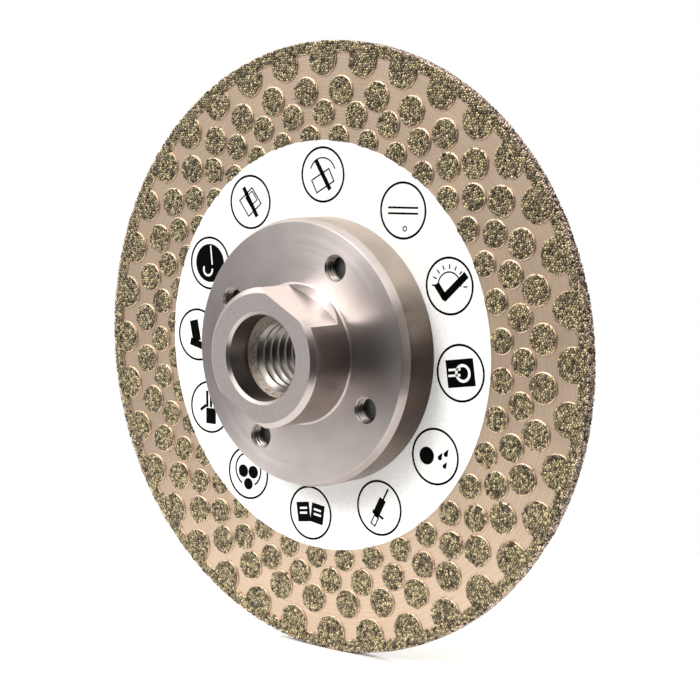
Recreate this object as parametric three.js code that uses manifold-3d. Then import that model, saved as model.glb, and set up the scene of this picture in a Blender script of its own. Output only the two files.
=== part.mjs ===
// A flat diamond disc on a threaded hub, for cutting and grinding stone with an angle grinder.
// Millimetres, +Z up. The spin axis is Y, and the hub's boss points to -Y, where the machine is.
// The origin is on the axis, on the face of the plated disc that the hub's flange sits on.
// Heights h are measured from that face towards the boss, so a point at height h has y = -h.
// Angles are measured from +X towards +Z, which is anticlockwise for someone who faces the boss.

import * as THREE from "three";
import { mergeGeometries, mergeVertices } from "three/addons/utils/BufferGeometryUtils.js";
import Module from "manifold-3d";

const wasm = await Module();
wasm.setup();

// Disc
const DISC_RADIUS = 57.5; // over the grit on the edge
const RIM_GRIT = 0.45; // grit on the edge, measured outwards
const STEEL_THICKNESS = 1.2;
const PLATING = 0.1; // nickel on each face
const PAD_HEIGHT = 0.4; // grit pads and rim band, above the plating
const PAD_BEVEL = 0.4; // how much narrower a pad is at its top
const RIM_BAND_WIDTH = 2.3; // grit band on each face, measured inwards from the edge
const RIM_CORNER = 0.2; // broken edges of the rim band

// Grit pads: rows of round pads, every second row turned by half a step
const PADS_PER_ROW = 36;
const FIRST_PAD_ANGLE = 0.97; // degrees
const RIM_ROW = { inset: 3.3, radius: 3.3 }; // its pads run into the rim band
const INNER_ROWS = [
  { inset: 9.15, radius: 2.9, turned: true },
  { inset: 13.3, radius: 2.65, turned: false },
  { inset: 17.7, radius: 2.45, turned: true },
];

// Hub
const FLANGE_RADIUS = 25;
const FLANGE_HEIGHT = 8.7;
const FLANGE_TAPER = 0.65; // how much narrower the flange's front edge is
const FLANGE_TAPER_HEIGHT = 1.8;
const BOSS_RADIUS = 12.8;
const BOSS_HEIGHT = 10.2; // above the flange
const BOSS_CHAMFER = 1; // measured inwards
const BOSS_CHAMFER_HEIGHT = 0.8;
const BOSS_FILLET = 0.4;
const PILOT_RADIUS = 11; // locates the disc's bore
const PILOT_RECESS = 0.1; // below the disc's back face
const THREAD_RADIUS = 7; // M14 x 2 spindle thread
const THREAD_PITCH = 2;
const THREAD_PHASE = 0.25; // height of a crest's middle at angle 0
const COUNTERBORE_CLEARANCE = 0.9; // around the thread
const COUNTERBORE_DEPTH = 5.3;
const COUNTERBORE_CHAMFER = 0.55;
const THREAD_LEAD_IN = 0.2; // the chamfer behind the thread is this much wider than the thread
const DRILL_POINT = 118; // degrees, the counterbore's floor
const FLAT_DEPTH = 1.9; // wrench flats, cut into the boss from both sides
const FLAT_CUTTER_RADIUS = 14; // leaves the flats' round lower edge
const FLAT_CLEARANCE = 0.1; // from the cutter's lowest point to the flange
const FLAT_ANGLE = 60.5; // degrees

// Screws: four countersunk screws hold the disc to the flange from behind
const SCREWS = 4;
const SCREW_ANGLE = 60.5; // degrees
const SCREW_INSET = 6.5; // from the flange's edge to a screw's axis
const SCREW_THREAD_RADIUS = 2.5;
const SCREW_LENGTH = 8;
const SOCKET_SIDES = 6;
const SCREW_HEAD_RADIUS = 4.6;
const SCREW_SOCKET_RADIUS = 1.73; // over the corners of a 3 mm hexagon
const SCREW_SOCKET_DEPTH = 1.7;
const SCREW_SINK = 0.05; // head below the disc's back face
const SCREW_END_CHAMFER = 0.4;
const HOLE_CHAMFER = 0.3;

// Label ring
const LABEL_RADIUS = 38.7;
const LABEL_THICKNESS = 0.2;
const LABEL_SHIFT = { x: -1.3, z: 0.5 }; // its outline sits a little off the axis
const LABEL_GAP = 0.3; // to the flange, and to the pads

// Clearances
const PILOT_CLEARANCE = 0.1;
const EDGE_CLEARANCE = 0.05; // rim band to steel
const THREAD_CLEARANCE = 0.3; // the screws' own threads are left out
const HEAD_CLEARANCE = 0.1;

// Facets
const DISC_SIDES = 60;
const HUB_SIDES = 48;
const BORE_SIDES = 20;
const HOLE_SIDES = 12;
const PAD_SIDES = 8;

// Worked out from the sizes above
const steelRadius = DISC_RADIUS - RIM_GRIT - EDGE_CLEARANCE;
const steelFront = -PLATING;
const steelBack = steelFront - STEEL_THICKNESS;
const discBack = steelBack - PLATING;
const boreRadius = PILOT_RADIUS + PILOT_CLEARANCE;
const bossFront = FLANGE_HEIGHT + BOSS_HEIGHT;
const counterboreRadius = THREAD_RADIUS + COUNTERBORE_CLEARANCE;
const screwCircle = FLANGE_RADIUS - SCREW_INSET;
const screwBack = discBack + SCREW_SINK;
const pilotEnd = discBack + PILOT_RECESS;
const threadDepth = 0.5413 * THREAD_PITCH; // ISO metric profile
const CUT_MARGIN = 2; // how far a cutter runs past what it cuts
const CONE_TIP = 0.5; // the blunt end of a cone-shaped cutter
const PAD_OVERLAP = 0.4; // how far a rim pad reaches into the rim band that it is joined to

const radians = THREE.MathUtils.degToRad;

const steel = { roughness: 0.4, metalness: 1 };
const materials = {
  blank: new THREE.MeshStandardMaterial({ color: 0x8f8a83, ...steel }),
  nickel: new THREE.MeshStandardMaterial({ color: 0xc4b29c, ...steel }),
  grit: new THREE.MeshStandardMaterial({ color: 0x80745c, roughness: 0.8, metalness: 0.3 }),
  hub: new THREE.MeshStandardMaterial({ color: 0xb0a6a0, ...steel }),
  screw: new THREE.MeshStandardMaterial({ color: 0x55524e, roughness: 0.5, metalness: 1 }),
  label: new THREE.MeshStandardMaterial({ color: 0xf6f6f4, roughness: 0.6, metalness: 0 }),
};

// A closed geometry as a solid whose faces point outwards.
function solid(geometry) {
  const bare = geometry.index ? geometry.toNonIndexed() : geometry.clone();
  bare.deleteAttribute("normal");
  bare.deleteAttribute("uv");
  const merged = mergeVertices(bare, 1e-5);
  const vertProperties = new Float32Array(merged.attributes.position.array);
  const triVerts = new Uint32Array(keepRealTriangles(merged.index.array));
  const made = new wasm.Manifold(new wasm.Mesh({ numProp: 3, vertProperties, triVerts }));
  if (made.volume() > 0) {
    return made;
  }
  return new wasm.Manifold(
    new wasm.Mesh({ numProp: 3, vertProperties, triVerts: triVerts.slice().reverse() }),
  );
}

// The triangles of an index list that still have three different corners.
function keepRealTriangles(index) {
  const kept = [];
  for (let i = 0; i < index.length; i += 3) {
    const [a, b, c] = [index[i], index[i + 1], index[i + 2]];
    if (a !== b && b !== c && c !== a) {
      kept.push(a, b, c);
    }
  }
  return kept;
}

// A solid as a named mesh.
function meshOf(name, body, material) {
  const made = body.getMesh();
  const geometry = new THREE.BufferGeometry();
  geometry.setAttribute("position", new THREE.BufferAttribute(made.vertProperties, 3));
  geometry.setIndex(new THREE.BufferAttribute(made.triVerts, 1));
  geometry.computeVertexNormals();
  const mesh = new THREE.Mesh(geometry, material);
  mesh.name = name;
  return mesh;
}

// A body turned from a closed profile of [radius, height] points, about the spin axis or, with an
// angle and an offset, about a line beside it.
function turned(profile, sides, angle = 0, offset = 0) {
  const points = [...profile, profile[0]].map(([radius, h]) => new THREE.Vector2(radius, -h));
  const geometry = new THREE.LatheGeometry(points, sides);
  geometry.translate(offset * Math.cos(radians(angle)), 0, offset * Math.sin(radians(angle)));
  return solid(geometry);
}

// A round bar or cone between two ends, each a radius at a height, on a line beside the spin axis.
function coneGeometry(low, high, sides, angle, offset) {
  const geometry = new THREE.CylinderGeometry(low.radius, high.radius, high.h - low.h, sides);
  geometry.translate(
    offset * Math.cos(radians(angle)),
    -(low.h + high.h) / 2,
    offset * Math.sin(radians(angle)),
  );
  return geometry;
}

function bar(radius, low, high, sides, angle = 0, offset = 0) {
  return solid(coneGeometry({ radius, h: low }, { radius, h: high }, sides, angle, offset));
}

function joined(bodies) {
  return bodies.reduce((all, next) => all.add(next));
}

// One row of tapered grit pads. They start a given depth inside the face; side is 1 on the boss's
// side of the disc and -1 behind it.
function padRow(row, face, depth, side) {
  const foot = { radius: row.radius, h: face - side * depth };
  const top = { radius: row.radius - PAD_BEVEL, h: face + side * PAD_HEIGHT };
  const [low, high] = side > 0 ? [foot, top] : [top, foot];
  const step = 360 / PADS_PER_ROW;
  const pads = [];
  for (let i = 0; i < PADS_PER_ROW; i++) {
    const angle = FIRST_PAD_ANGLE + step * (i + (row.turned ? 0.5 : 0));
    pads.push(coneGeometry(low, high, PAD_SIDES, angle, DISC_RADIUS - row.inset));
  }
  return solid(mergeGeometries(pads));
}

function screwAngles() {
  return Array.from({ length: SCREWS }, (_, i) => SCREW_ANGLE + (360 / SCREWS) * i);
}

// What the screws remove: clear holes, and the 90 degree cones that their heads sit in.
function screwCutters(low, high) {
  const mouth = { radius: SCREW_HEAD_RADIUS + HEAD_CLEARANCE + CUT_MARGIN, h: screwBack - CUT_MARGIN };
  const tip = { radius: CONE_TIP, h: mouth.h + mouth.radius - CONE_TIP };
  return joined(
    screwAngles().flatMap((angle) => [
      bar(SCREW_THREAD_RADIUS, low, high, HOLE_SIDES, angle, screwCircle),
      solid(coneGeometry(mouth, tip, HOLE_SIDES, angle, screwCircle)),
    ]),
  );
}

// A flat ring around the spin axis with a bore that fits the hub's pilot.
function discRing(low, high) {
  const outline = [
    [boreRadius, low],
    [steelRadius, low],
    [steelRadius, high],
    [boreRadius, high],
  ];
  return turned(outline, DISC_SIDES);
}

function makeSteelDisc() {
  const body = discRing(steelBack, steelFront).subtract(screwCutters(discBack, CUT_MARGIN));
  return meshOf("steel_disc", body, materials.blank);
}

// The round outline of the label, grown by extra, between two heights.
function labelDisc(extra, low, high) {
  const radius = LABEL_RADIUS + extra;
  const geometry = new THREE.CylinderGeometry(radius, radius, high - low, DISC_SIDES);
  geometry.translate(LABEL_SHIFT.x, -(low + high) / 2, LABEL_SHIFT.z);
  return solid(geometry);
}

// The nickel layer of one face with its raised pads. In front, the pads stop at the label.
function makePlating(name, steelFace, face, side) {
  const layer = discRing(Math.min(steelFace, face), Math.max(steelFace, face));
  let pads = joined(INNER_ROWS.map((row) => padRow(row, face, PLATING / 2, side)));
  if (side > 0) {
    pads = pads.subtract(labelDisc(LABEL_GAP, -CUT_MARGIN, CUT_MARGIN));
  }
  const body = layer.add(pads).subtract(screwCutters(discBack - CUT_MARGIN, CUT_MARGIN));
  return meshOf(name, body, materials.nickel);
}

// The grit that wraps the disc's edge, with the outermost row of pads grown into it.
function makeRimBand() {
  const top = PAD_HEIGHT;
  const bottom = discBack - PAD_HEIGHT;
  const bandInner = DISC_RADIUS - RIM_BAND_WIDTH;
  const edgeInner = steelRadius + EDGE_CLEARANCE;
  const outline = [
    [bandInner, 0],
    [bandInner, top],
    [DISC_RADIUS - RIM_CORNER, top],
    [DISC_RADIUS, top - RIM_CORNER],
    [DISC_RADIUS, bottom + RIM_CORNER],
    [DISC_RADIUS - RIM_CORNER, bottom],
    [bandInner, bottom],
    [bandInner, discBack],
    [edgeInner, discBack],
    [edgeInner, 0],
  ];
  const padLimit = bar(
    bandInner + PAD_OVERLAP,
    bottom - CUT_MARGIN,
    top + CUT_MARGIN,
    DISC_SIDES,
  );
  const pads = padRow(RIM_ROW, 0, 0, 1).add(padRow(RIM_ROW, discBack, 0, -1));
  const body = turned(outline, DISC_SIDES).add(pads.intersect(padLimit));
  return meshOf("rim_band", body, materials.grit);
}

function makeLabel() {
  const hole = bar(FLANGE_RADIUS + LABEL_GAP, -CUT_MARGIN, CUT_MARGIN, DISC_SIDES);
  return meshOf("label_ring", labelDisc(0, 0, LABEL_THICKNESS).subtract(hole), materials.label);
}

// A bar with an ISO metric thread. A strip of four edges, at the two sides of the root and of the
// crest, climbs a right-hand helix, and each turn is joined to the next. Where the strip starts and
// where it stops, a fan to a point on the axis closes the bar, beyond the two heights.
function threadedBar(majorRadius, pitch, phase, low, high, sides) {
  const minorRadius = majorRadius - threadDepth;
  const strip = [
    { share: -0.125, radius: minorRadius },
    { share: 0.125, radius: minorRadius },
    { share: 0.4375, radius: majorRadius },
    { share: 0.5625, radius: majorRadius },
  ];
  const last = strip.length - 1;
  const firstTurn = Math.floor((low - phase) / pitch) - 1;
  const turns = Math.ceil((high - low) / pitch) + 3;
  const steps = turns * sides;
  const positions = [];
  for (let step = 0; step <= steps; step++) {
    const angle = (2 * Math.PI * (step % sides)) / sides;
    for (const { share, radius } of strip) {
      const h = phase + pitch * (firstTurn + step / sides + share);
      positions.push(radius * Math.cos(angle), -h, radius * Math.sin(angle));
    }
  }
  const at = (step, edge) => step * strip.length + edge;
  const lowTip = positions.length / 3;
  const highTip = lowTip + 1;
  positions.push(0, positions[3 * at(0, 0) + 1], 0);
  positions.push(0, positions[3 * at(steps, last) + 1], 0);

  const index = [];
  const quad = (a, b, c, d) => index.push(a, b, c, a, c, d);
  for (let step = 0; step < steps; step++) {
    for (let edge = 0; edge < last; edge++) {
      quad(at(step, edge), at(step, edge + 1), at(step + 1, edge + 1), at(step + 1, edge));
    }
    if (step + 1 + sides <= steps) {
      quad(at(step, last), at(step + sides, 0), at(step + 1 + sides, 0), at(step + 1, last));
    }
  }
  for (let step = 0; step < sides; step++) {
    index.push(lowTip, at(step, 0), at(step + 1, 0));
    index.push(highTip, at(steps - step, last), at(steps - step - 1, last));
  }
  for (let edge = 0; edge < last; edge++) {
    index.push(lowTip, at(0, edge + 1), at(0, edge));
    index.push(highTip, at(steps, edge), at(steps, edge + 1));
  }
  index.push(lowTip, at(sides, 0), at(0, last));
  index.push(highTip, at(steps - sides, last), at(steps, 0));

  const geometry = new THREE.BufferGeometry();
  geometry.setAttribute("position", new THREE.Float32BufferAttribute(positions, 3));
  geometry.setIndex(index);
  return solid(geometry);
}

// The boss's two opposite wrench flats. A cutter whose axis points outwards leaves each one flat,
// with a round lower edge.
function flatCutters() {
  const length = BOSS_RADIUS + CUT_MARGIN;
  const centreHeight = FLANGE_HEIGHT + FLAT_CLEARANCE + FLAT_CUTTER_RADIUS;
  const centreOffset = BOSS_RADIUS - FLAT_DEPTH + length / 2;
  return joined(
    [0, 180].map((turn) => {
      const angle = radians(FLAT_ANGLE + turn);
      const geometry = new THREE.CylinderGeometry(
        FLAT_CUTTER_RADIUS,
        FLAT_CUTTER_RADIUS,
        length,
        HUB_SIDES,
      );
      geometry.rotateX(Math.PI / 2);
      geometry.rotateY(Math.PI / 2 - angle);
      geometry.translate(
        centreOffset * Math.cos(angle),
        -centreHeight,
        centreOffset * Math.sin(angle),
      );
      return solid(geometry);
    }),
  );
}

function makeHub() {
  const coreRadius = THREAD_RADIUS - threadDepth - CONE_TIP; // the threading cuts the bore clean
  const floorHeight = bossFront - COUNTERBORE_DEPTH;
  const floorDrop = (counterboreRadius - coreRadius) / Math.tan(radians(DRILL_POINT / 2));
  const leadIn = THREAD_RADIUS + THREAD_LEAD_IN;
  const outline = [
    [leadIn, pilotEnd],
    [PILOT_RADIUS, pilotEnd],
    [PILOT_RADIUS, 0],
    [FLANGE_RADIUS, 0],
    [FLANGE_RADIUS, FLANGE_HEIGHT - FLANGE_TAPER_HEIGHT],
    [FLANGE_RADIUS - FLANGE_TAPER, FLANGE_HEIGHT],
    [BOSS_RADIUS + BOSS_FILLET, FLANGE_HEIGHT],
    [BOSS_RADIUS, FLANGE_HEIGHT + BOSS_FILLET],
    [BOSS_RADIUS, bossFront - BOSS_CHAMFER_HEIGHT],
    [BOSS_RADIUS - BOSS_CHAMFER, bossFront],
    [counterboreRadius + COUNTERBORE_CHAMFER, bossFront],
    [counterboreRadius, bossFront - COUNTERBORE_CHAMFER],
    [counterboreRadius, floorHeight],
    [coreRadius, floorHeight - floorDrop],
    [coreRadius, pilotEnd + leadIn - coreRadius],
  ];
  const tap = threadedBar(
    THREAD_RADIUS,
    THREAD_PITCH,
    THREAD_PHASE,
    pilotEnd,
    floorHeight,
    BORE_SIDES,
  );
  const holeFoot = { radius: SCREW_THREAD_RADIUS, h: FLANGE_HEIGHT - HOLE_CHAMFER };
  const holeMouth = { radius: SCREW_THREAD_RADIUS + 2 * HOLE_CHAMFER, h: FLANGE_HEIGHT + HOLE_CHAMFER };
  const mouths = joined(
    screwAngles().map((angle) =>
      solid(coneGeometry(holeFoot, holeMouth, HOLE_SIDES, angle, screwCircle)),
    ),
  );
  const body = turned(outline, HUB_SIDES)
    .subtract(tap)
    .subtract(flatCutters())
    .subtract(screwCutters(discBack, FLANGE_HEIGHT + CUT_MARGIN))
    .subtract(mouths);
  return meshOf("flange_hub", body, materials.hub);
}

// A countersunk socket screw; its head faces away from the boss.
function makeScrew(number, angle) {
  const shank = SCREW_THREAD_RADIUS - THREAD_CLEARANCE;
  const end = screwBack + SCREW_LENGTH;
  const outline = [
    [0, screwBack],
    [SCREW_HEAD_RADIUS, screwBack],
    [shank, screwBack + SCREW_HEAD_RADIUS - shank],
    [shank, end - SCREW_END_CHAMFER],
    [shank - SCREW_END_CHAMFER, end],
    [0, end],
  ];
  const body = turned(outline, HOLE_SIDES, angle, screwCircle).subtract(
    bar(
      SCREW_SOCKET_RADIUS,
      screwBack - CUT_MARGIN,
      screwBack + SCREW_SOCKET_DEPTH,
      SOCKET_SIDES,
      angle,
      screwCircle,
    ),
  );
  return meshOf("screw_" + number, body, materials.screw);
}

const wheel = new THREE.Group();
wheel.add(
  makeSteelDisc(),
  makePlating("front_plating", steelFront, 0, 1),
  makePlating("back_plating", steelBack, discBack, -1),
  makeRimBand(),
  makeLabel(),
  makeHub(),
);
screwAngles().forEach((angle, i) => wheel.add(makeScrew(i + 1, angle)));

export default wheel;
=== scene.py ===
"""Diamond grinding wheel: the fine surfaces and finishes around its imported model.

Lengths are in metres. The spin axis is Y and the boss points to -Y. Heights are measured from
the disc's plated face towards the boss, so a point at height h has y = -h. Angles run from +X
towards +Z, which is anticlockwise for someone who faces the boss."""

import math

import bmesh
import bpy
import numpy as np
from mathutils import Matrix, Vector


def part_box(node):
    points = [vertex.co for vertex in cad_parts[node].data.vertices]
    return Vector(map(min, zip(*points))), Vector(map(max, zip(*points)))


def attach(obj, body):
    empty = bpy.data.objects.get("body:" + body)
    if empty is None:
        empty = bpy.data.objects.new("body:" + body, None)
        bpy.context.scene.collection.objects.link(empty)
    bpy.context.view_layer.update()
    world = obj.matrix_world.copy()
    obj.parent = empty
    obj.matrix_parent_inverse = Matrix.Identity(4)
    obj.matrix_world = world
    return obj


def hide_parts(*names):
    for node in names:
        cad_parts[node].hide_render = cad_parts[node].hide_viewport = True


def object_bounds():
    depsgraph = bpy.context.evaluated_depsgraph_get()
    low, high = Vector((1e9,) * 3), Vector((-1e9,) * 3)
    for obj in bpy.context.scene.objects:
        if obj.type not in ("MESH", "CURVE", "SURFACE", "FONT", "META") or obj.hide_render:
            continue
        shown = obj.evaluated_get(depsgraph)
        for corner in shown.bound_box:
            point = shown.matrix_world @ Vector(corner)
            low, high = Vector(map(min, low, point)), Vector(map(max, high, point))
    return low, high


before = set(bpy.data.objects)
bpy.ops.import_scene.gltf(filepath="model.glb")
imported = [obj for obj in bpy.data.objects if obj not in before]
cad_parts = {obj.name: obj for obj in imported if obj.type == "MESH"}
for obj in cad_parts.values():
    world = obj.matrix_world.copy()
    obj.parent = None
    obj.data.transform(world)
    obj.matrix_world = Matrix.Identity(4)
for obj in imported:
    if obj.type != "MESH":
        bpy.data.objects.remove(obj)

bl_info = {
    "name": "Diamond Grinding Wheel",
    "version": (1, 0, 0),
    "blender": (4, 5, 0),
    "location": "3D View > Sidebar > Wheel",
    "description": "Fine surfaces and finishes for a hub-mounted diamond grinding wheel",
    "category": "Add Mesh",
}

BODY = "root"
MM = 0.001
TURN = 2 * math.pi
FRONT, BACK = 1, -1  # the side of the disc that faces the boss, and the other
CAD_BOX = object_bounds()


def heights(node):
    """The lowest and highest height of a CAD node, measured towards the boss."""
    low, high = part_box(node)
    return -high.y, -low.y


DISC_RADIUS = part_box("rim_band")[1].x
STEEL_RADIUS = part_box("steel_disc")[1].x
BAND_BACK, BAND_FRONT = heights("rim_band")
STEEL_BACK, STEEL_FRONT = heights("steel_disc")
PLATE_FRONT = 0.0
PLATE_BACK = STEEL_BACK + STEEL_FRONT
LABEL_LOW, LABEL_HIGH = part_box("label_ring")
LABEL_TOP = heights("label_ring")[1]
LABEL_RADIUS = (LABEL_HIGH.x - LABEL_LOW.x) / 2
LABEL_CENTRE = ((LABEL_HIGH.x + LABEL_LOW.x) / 2, (LABEL_HIGH.z + LABEL_LOW.z) / 2)
FLANGE_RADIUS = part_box("flange_hub")[1].x
HUB_BACK, HUB_FRONT = heights("flange_hub")
SCREW_NODES = [f"screw_{number}" for number in range(1, 5)]
SCREW_BACK, SCREW_END = heights(SCREW_NODES[0])
SCREW_HEAD_RADIUS = (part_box(SCREW_NODES[0])[1].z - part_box(SCREW_NODES[0])[0].z) / 2


def screw_places():
    """Each screw's axis as an x and z, from its CAD node."""
    boxes = [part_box(node) for node in SCREW_NODES]
    return [((low.x + high.x) / 2, (low.z + high.z) / 2) for low, high in boxes]


# ---------------------------------------------------------------- values that stay as they are

# Segments round the disc and its label, and round a screw and its cutters.
DISC_SEGMENTS = 288
SCREW_SEGMENTS = 64
# Depth of an ISO thread as a share of its pitch, and the height and radius of the six edges across
# its ridge: heights in pitches, and radii as shares of that depth below the major radius.
THREAD_DEPTH = 0.5413
THREAD_HEIGHTS = [-0.125, 0.125, 0.4375, 0.47, 0.53, 0.5625]
THREAD_SINK = [1, 1, 0.06, 0, 0, 0.06]
# A drill's point leaves a cone: the angle between its axis and its side.
DRILL_HALF_ANGLE = math.radians(59)
# The countersinks' cutters are cones that reach past the back of the screws' heads.
COUNTERSINK_MOUTH = SCREW_HEAD_RADIUS + 2.1 * MM
COUNTERSINK_BACK = SCREW_BACK - 2 * MM
# Distance between the rows of a triangular lattice, as a share of its spacing.
LATTICE_ROW = 0.866
# Crystals: the shake of their places as a share of the spacing, and, as shares of a crystal's
# width, the spread of their heights and the room that they leave inside the edge of a bed.
SHAKE = 0.12
SPREAD = 0.05
ROOM = 0.3
# A nickel shoulder as shares of its width inwards and of the bed's height upwards: round a pad,
# where it starts a little under the plate, and along the rim band.
PAD_SHOULDER = [(0, -0.2), (0, 0.5), (0.28, 0.87), (1, 1)]
RIM_SHOULDER = [(0, 0), (0, 0.4), (0.24, 0.8), (0.6, 1.0), (1.0, 1.0)]
# The label's sheet stops under its CAD node's top, to leave room for the marks' ink and for the
# paper-coloured shapes on them.
SHEET_TOP = LABEL_TOP - 0.03 * MM
INK_TOP = SHEET_TOP + 0.015 * MM
GAP_TOP = SHEET_TOP + 0.022 * MM
# The hub's finishes, in the order of its material slots.
TURNED, SIDE, END, BORE, FLAT, DRILLED, BARREL = range(7)
# Scale of the fine lathe marks, and the plain steels' colours.
FINE_MARKS = 9000
BLANK_STEEL = (0.45, 0.43, 0.41)
SCREW_STEEL = (0.16, 0.155, 0.15)


# ---------------------------------------------------------------- settings


def length(name, description, default):
    """A setting in the scene's unit of length."""
    return bpy.props.FloatProperty(
        name=name, description=description, default=default, unit="LENGTH", precision=5
    )


def colour(name, description, default):
    """A colour setting, in linear red, green and blue."""
    return bpy.props.FloatVectorProperty(
        name=name, description=description, default=default, subtype="COLOR", min=0, max=1
    )


class WheelDiscSettings(bpy.types.PropertyGroup):
    """Sizes and colours of the plated disc, its grit pads and its rim band."""

    pads_per_row: bpy.props.IntProperty(
        name="Pads per row", description="Round grit pads in each row", default=36
    )
    first_pad_angle: bpy.props.FloatProperty(
        name="First pad", description="Angle of the first pad",
        default=math.radians(0.97), subtype="ANGLE",
    )
    rim_row: bpy.props.FloatVectorProperty(
        name="Rim row", description="Inset from the edge, and radius, of the rim's pads",
        default=(3.3 * MM, 3.3 * MM), size=2, unit="LENGTH", precision=5,
    )
    row_insets: bpy.props.FloatVectorProperty(
        name="Row insets", description="Distance from the edge to each inner row",
        default=(9.15 * MM, 13.3 * MM, 17.7 * MM), size=3, unit="LENGTH", precision=5,
    )
    row_radii: bpy.props.FloatVectorProperty(
        name="Pad radii", description="Pad radius in each inner row",
        default=(2.9 * MM, 2.65 * MM, 2.45 * MM), size=3, unit="LENGTH", precision=5,
    )
    band_width: length("Band width", "Grit band on each face, inwards from the edge", 2.3 * MM)
    bed_height: length("Bed height", "Nickel under the crystals, above the plate", 0.25 * MM)
    shoulder: length("Shoulder", "Bare nickel round each pad", 0.24 * MM)
    crystal: length("Crystal", "Width of a diamond crystal", 0.52 * MM)
    spacing: length("Crystal spacing", "Distance between crystals", 0.53 * MM)
    nickel: colour("Nickel", "Colour of the nickel plate", (0.635, 0.49, 0.368))
    grit_dark: colour("Dark grit", "Darkest crystals", (0.012, 0.009, 0.004))
    grit_light: colour("Light grit", "Lightest crystals", (0.66, 0.54, 0.31))
    grit_coat: colour("Coated grit", "Metal coat on the crystals of the edge", (0.52, 0.40, 0.32))


class WheelHubSettings(bpy.types.PropertyGroup):
    """Sizes and colours of the flanged hub and its screws."""

    flange_height: length("Flange height", "Thickness of the flange", 8.7 * MM)
    flange_taper: length("Flange taper", "How much narrower the front edge is", 0.65 * MM)
    taper_height: length("Taper height", "Height of the tapered edge", 1.8 * MM)
    boss_radius: length("Boss radius", "Radius of the boss", 12.8 * MM)
    boss_chamfer: length("Boss chamfer", "Width of the chamfer at the boss's end", 1.0 * MM)
    boss_chamfer_height: length("Chamfer height", "Height of that chamfer", 0.8 * MM)
    pilot_radius: length("Pilot radius", "Spigot that locates the disc", 11.0 * MM)
    thread_radius: length("Thread radius", "Major radius of the spindle thread", 7.0 * MM)
    thread_pitch: length("Thread pitch", "Pitch of the spindle thread", 2.0 * MM)
    thread_phase: length("Thread phase", "Height of a crest at angle 0", 0.25 * MM)
    counterbore_radius: length("Counterbore radius", "Recess in the boss", 7.9 * MM)
    counterbore_depth: length("Counterbore depth", "Depth of the recess", 5.3 * MM)
    counterbore_chamfer: length("Counterbore chamfer", "Broken edge of the recess", 0.55 * MM)
    flat_depth: length("Flat depth", "How deep the wrench flats are cut", 1.9 * MM)
    flat_cutter: length("Flat cutter", "Radius of the cutter that makes the flats", 14 * MM)
    flat_angle: bpy.props.FloatProperty(
        name="Flat angle", description="Direction that the first flat faces",
        default=math.radians(60.5), subtype="ANGLE",
    )
    screw_radius: length("Screw radius", "Major radius of the disc's screws", 2.5 * MM)
    screw_pitch: length("Screw pitch", "Pitch of the disc's screws", 0.8 * MM)
    steel: colour("Steel", "Colour of the turned steel", (0.52, 0.47, 0.45))
    # The flange's side: side is its bare steel at the top, and brown_and_shade its darker middle
    # and bottom, partly a real brownish tint and partly painted shade.
    side: colour("Side", "Colour of the flange's side where it is bare", (0.50, 0.42, 0.36))
    brown_and_shade: colour("Brown", "Colour of the flange's side where it is browned", (0.085, 0.062, 0.048))
    bore: colour("Bore", "Colour of the bores", (0.27, 0.245, 0.225))
    # The boss's side is a darker copy of the turned steel: painted shade for the dark reflections
    # on it.
    shaded_barrel: colour("Barrel", "Colour of the boss's side", (0.30, 0.255, 0.235))
    drilled: colour("Drilled", "Colour of the counterbore's drilled floor", (0.26, 0.22, 0.19))


class WheelLabelSettings(bpy.types.PropertyGroup):
    """Sizes and colours of the label and its generic marks."""

    circle_radius: length("Mark radius", "Radius of a mark's circle", 5.25 * MM)
    circle_place: length("Mark place", "Distance from the label's centre to a mark", 32.3 * MM)
    line: length("Line", "Width of the circles' line", 0.42 * MM)
    paper: colour("Paper", "Colour of the label", (0.93, 0.93, 0.92))
    ink: colour("Ink", "Colour of the marks", (0.001, 0.001, 0.001))


class WheelStageSettings(bpy.types.PropertyGroup):
    """The camera and the light."""

    camera_place: bpy.props.FloatVectorProperty(
        name="Camera", description="Place of the camera",
        default=(0.2124, -0.2545, 0.0357), size=3, unit="LENGTH", precision=5,
    )
    camera_turn: bpy.props.FloatVectorProperty(
        name="Turn", description="Turn of the camera",
        default=(math.radians(83.84), 0, math.radians(39.11)), size=3, subtype="EULER",
    )
    lens: bpy.props.FloatProperty(
        name="Lens", description="Focal length in millimetres", default=91.1
    )
    floor_radius: length("Floor radius", "Radius of the table top", 0.115)
    floor: colour("Floor", "Colour of the table top", (0.92, 0.92, 0.92))


# ---------------------------------------------------------------- meshes


def faces_of(*corners):
    """Faces from the numbers of their corners: an array, or one number, for each corner."""
    return np.stack(np.broadcast_arrays(*corners), -1).reshape(-1, len(corners))


def quads(rows, columns, closed_rows=True, closed_columns=True):
    """The faces of a grid of points: each joins a point to its neighbours in both directions, and
    a closed direction joins the last point to the first."""
    row = np.arange(rows if closed_rows else rows - 1)[:, None]
    column = np.arange(columns if closed_columns else columns - 1)[None, :]
    next_row = (row + 1) % rows
    next_column = (column + 1) % columns
    return faces_of(
        row * columns + column,
        next_row * columns + column,
        next_row * columns + next_column,
        row * columns + next_column,
    )


def read(items, name, width=1, kind=float):
    """A value, or a row of values, of each vertex, face or triangle of a mesh, as an array."""
    values = np.empty(width * len(items), kind)
    items.foreach_get(name, values)
    return values if width == 1 else values.reshape(-1, width)


def outward(mesh):
    """Turns a closed mesh's faces outwards: if the sum of the volumes between each triangle and the
    origin is negative, all faces are flipped."""
    mesh.calc_loop_triangles()
    triangles = read(mesh.loop_triangles, "vertices", 3, np.int32)
    a, b, c = np.moveaxis(read(mesh.vertices, "co", 3)[triangles], 1, 0)
    if (a * np.cross(b, c)).sum() < 0:
        mesh.flip_normals()
    return mesh


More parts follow.
